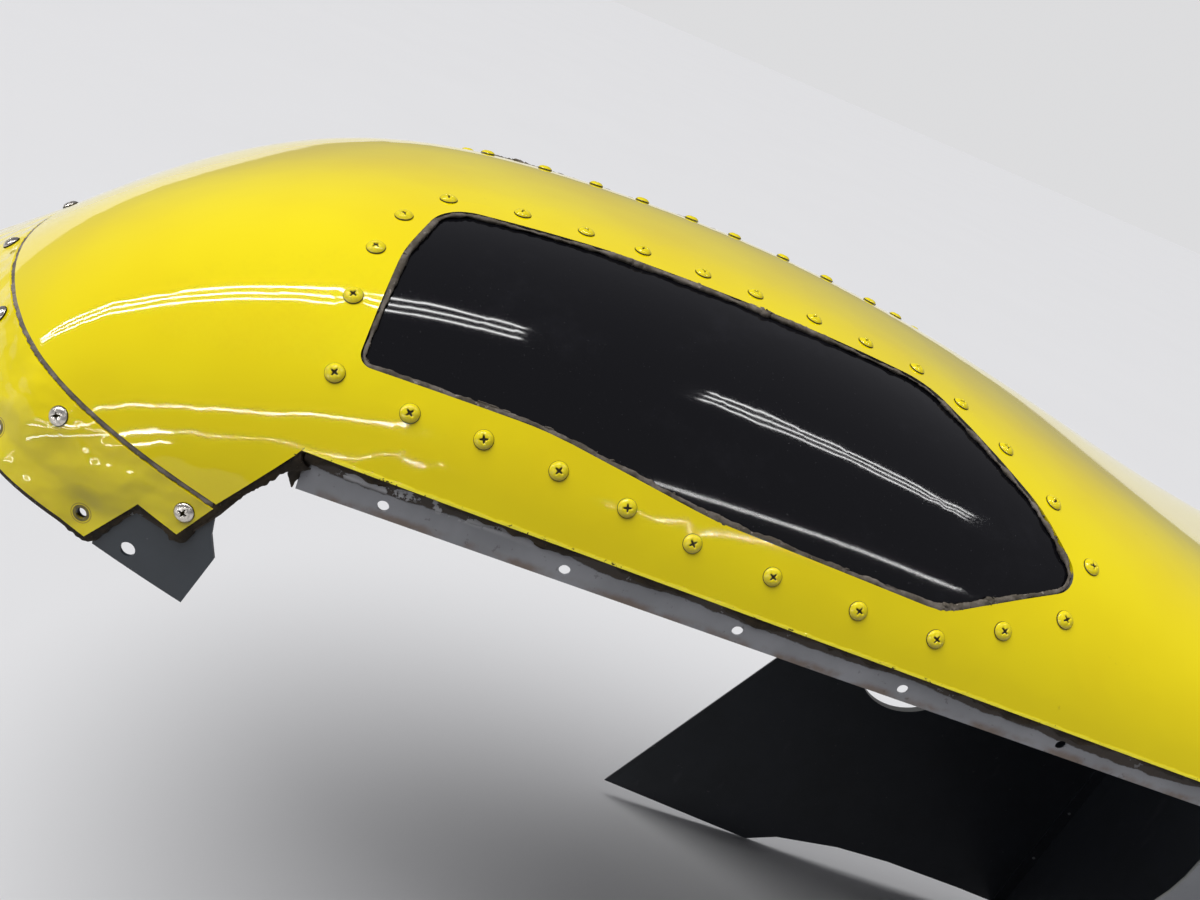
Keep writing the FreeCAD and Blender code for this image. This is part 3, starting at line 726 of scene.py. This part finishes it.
class CANOPY_OT_stage(bpy.types.Operator):
    """Sets the camera, the pale floor and the lamps"""
    bl_idname = "canopy.stage"
    bl_label = "Stage"

    def lamp(self, name, place, aim, length, radiance):
        """A tube that shows in gloss and metal; the soft sky gives the even light."""
        light = bpy.data.lights.new(name, "AREA")
        light.shape = "RECTANGLE"
        light.size, light.size_y, light.energy = length, TUBE, radiance * math.pi * length * TUBE
        obj = bpy.data.objects.new(name, light)
        obj.matrix_world = Matrix.Translation(place) @ aim.to_4x4()
        obj.visible_diffuse = False
        bpy.context.scene.collection.objects.link(obj)

    def execute(self, context):
        stage, scene = context.scene.canopy_stage, context.scene
        eye = Vector(stage.eye)
        camera = bpy.data.objects.new("camera", bpy.data.cameras.new("camera"))
        camera.data.lens = stage.lens
        camera.data.sensor_width = 36.0
        camera.matrix_world = Matrix.Translation(eye) @ Matrix((RIGHT, UP, BACK)).transposed().to_4x4()
        scene.collection.objects.link(camera)
        scene.camera = camera
        scene.view_settings.view_transform = "Standard"

        # Lamp rows run along the photograph's level line, over and behind the camera
        rise = (UP * 0.978 + BACK * 0.208).normalized()
        away = rise.cross(RIGHT).normalized()
        aim = Matrix((RIGHT, away, rise)).transposed()
        for row, (depth, start, end, radiance) in enumerate(LAMP_ROWS):
            middle = eye + rise * stage.lamp_height + RIGHT * (start + end) / 2
            for k in (-1, 0, 1):
                self.lamp("tube_%d_%d" % (row, k + 1), middle + away * (depth + TUBE_GAP * k), aim,
                          end - start, radiance)

        # Two tubes stand low, before the left foot of the band, and show up its dents
        foot, distance = Vector((-0.40, -0.24, 0.50)), 2.2
        from_band = (RIGHT * -0.65 + rise * 0.05 - away * 0.75).normalized()
        along = (RIGHT - from_band * RIGHT.dot(from_band)).normalized()
        across = from_band.cross(along)
        for k in (0, 1):
            self.lamp("low_tube_%d" % k, foot + from_band * distance + across * 0.16 * k,
                      Matrix((along, across, from_band)).transposed(), 1.3, 34.0)

        sky = bpy.data.lights.new("soft_sky", "SUN")
        sky.energy, sky.angle = 3.25, math.radians(55.0)
        sky = bpy.data.objects.new("soft_sky", sky)
        sky.rotation_euler = (math.radians(7.0), math.radians(-24.0), 0.0)
        sky.visible_glossy = False
        scene.collection.objects.link(sky)

        # The floor lies just under the part's feet
        bm = bmesh.new()
        bmesh.ops.create_grid(bm, x_segments=2, y_segments=2, size=30.0)
        mesh = bpy.data.meshes.new("floor")
        bm.to_mesh(mesh)
        bm.free()
        floor = bpy.data.objects.new("floor", mesh)
        floor.location.z = -0.0005
        floor.visible_diffuse = False
        scene.collection.objects.link(floor)
        f = Finish("pale_floor", Specular_IOR_Level=0.1)
        tone = tuple(stage.floor)
        colour = f.mix(f.grain(1.5, 2.0), tone, [c * 0.97 for c in tone])
        paint_over(floor, f.dress(colour, 0.7 + f.grain(8.0) * 0.1))

        # Soft grey room: even light, and the tones that the camera and gloss see
        world = bpy.data.worlds.new("studio")
        world.use_nodes = True
        tree = world.node_tree
        path = tree.nodes.new("ShaderNodeLightPath")
        light = tree.nodes["Background"]
        light.inputs["Color"].default_value = (0.15, 0.15, 0.16, 1.0)
        for rays, tone in (("Is Camera Ray", (0.72, 0.72, 0.73)), ("Is Glossy Ray", (0.25, 0.25, 0.27))):
            other = tree.nodes.new("ShaderNodeBackground")
            other.inputs["Color"].default_value = (*tone, 1.0)
            pick = tree.nodes.new("ShaderNodeMixShader")
            tree.links.new(path.outputs[rays], pick.inputs[0])
            tree.links.new(light.outputs[0], pick.inputs[1])
            tree.links.new(other.outputs[0], pick.inputs[2])
            light = pick
        tree.links.new(light.outputs[0], tree.nodes["World Output"].inputs["Surface"])
        scene.world = world
        return {"FINISHED"}


class CANOPY_PT_sidebar(bpy.types.Panel):
    """Lists the canopy's settings and steps"""
    bl_idname = "CANOPY_PT_sidebar"
    bl_label = "Canopy"
    bl_space_type = "VIEW_3D"
    bl_region_type = "UI"
    bl_category = "Canopy"

    def draw(self, context):
        for group in (context.scene.canopy_paint, context.scene.canopy_trim, context.scene.canopy_stage):
            for key in group.__annotations__:
                self.layout.prop(group, key)
        for operator in OPERATORS:
            self.layout.operator(operator.bl_idname)


GROUPS = {"canopy_paint": CanopyPaint, "canopy_trim": CanopyTrim, "canopy_stage": CanopyStage}
OPERATORS = (CANOPY_OT_stage, CANOPY_OT_hood, CANOPY_OT_windows, CANOPY_OT_screws, CANOPY_OT_sealant,
             CANOPY_OT_sheet_metal)


def register():
    for cls in (*GROUPS.values(), *OPERATORS, CANOPY_PT_sidebar):
        bpy.utils.register_class(cls)
    for name, group in GROUPS.items():
        setattr(bpy.types.Scene, name, bpy.props.PointerProperty(type=group))


def unregister():
    for name in GROUPS:
        delattr(bpy.types.Scene, name)
    for cls in reversed((*GROUPS.values(), *OPERATORS, CANOPY_PT_sidebar)):
        bpy.utils.unregister_class(cls)


def main():
    register()
    bpy.ops.canopy.stage()
    bpy.ops.canopy.hood()
    bpy.ops.canopy.windows()
    bpy.ops.canopy.screws()
    bpy.ops.canopy.sealant()
    bpy.ops.canopy.sheet_metal()


if __name__ == "__main__":
    main()
